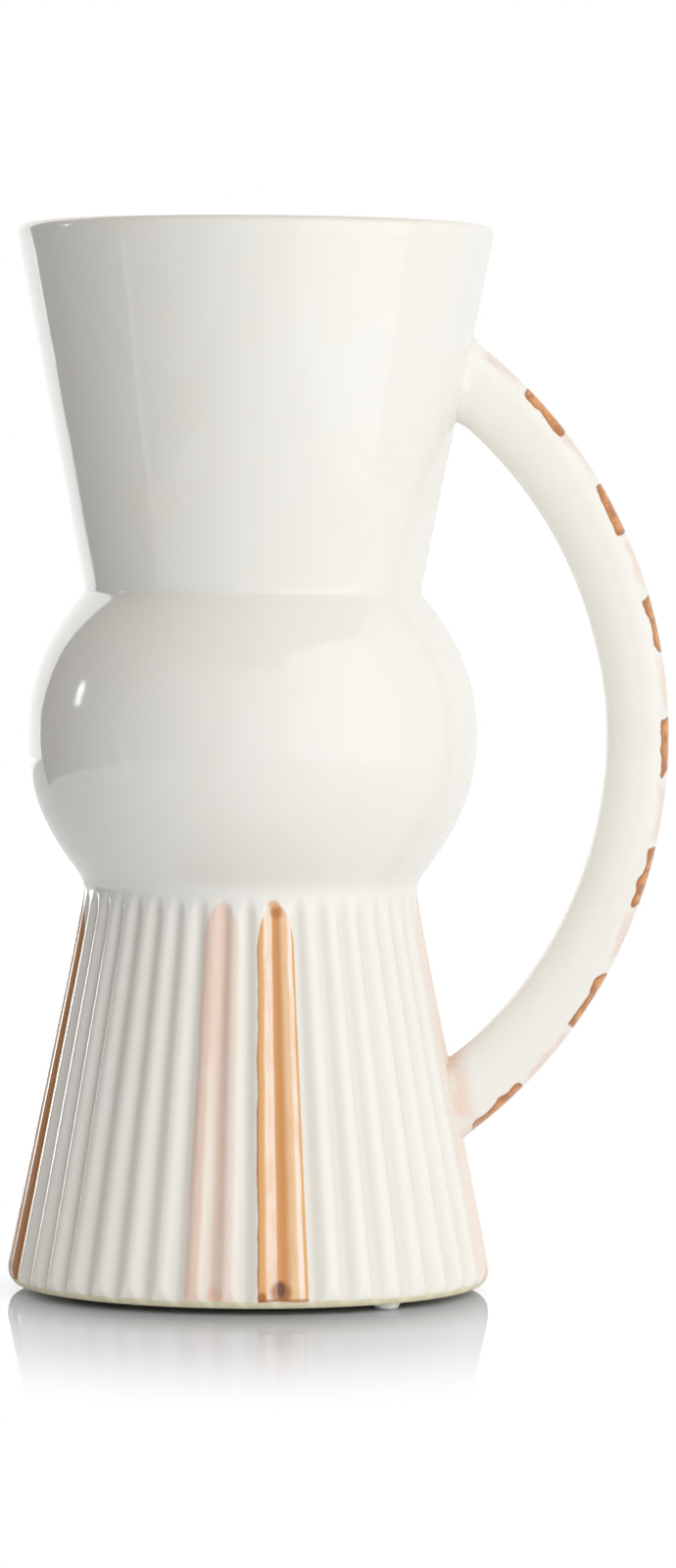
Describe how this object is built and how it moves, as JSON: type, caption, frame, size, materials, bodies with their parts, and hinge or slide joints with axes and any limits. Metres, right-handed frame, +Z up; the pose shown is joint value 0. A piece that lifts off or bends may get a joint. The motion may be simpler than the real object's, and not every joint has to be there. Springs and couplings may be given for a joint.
{
  "type": "vase",
  "caption": "Tall glazed earthenware vase: a wide flared neck on a round bulb on a fluted, bell-like skirt, with an arc handle from neck to skirt and small pads under its foot.",
  "frame": {"origin": "middle of the plan's outline, on the plane that the pads stand on; the turned body's axis runs 25.1 mm to -X of it", "axes": "+Z is up, +X points to the handle, and -Y is the front"},
  "size_m": [0.1872, 0.1372, 0.3023],
  "materials": {
    "ivory_glaze": "glossy warm white glaze, with pink and brown brushed stripes and dabs",
    "bisque": "unglazed, matt greenish cream clay",
    "silicone": "milky, slightly see-through silicone"
  },
  "bodies": {
    "root": {"flared_neck": "ivory_glaze", "bulb": "ivory_glaze", "fluted_skirt": "ivory_glaze", "base_slab": "bisque", "handle": "ivory_glaze", "foot_pad_1": "silicone", "foot_pad_2": "silicone", "foot_pad_3": "silicone"}
  },
  "joints": []
}
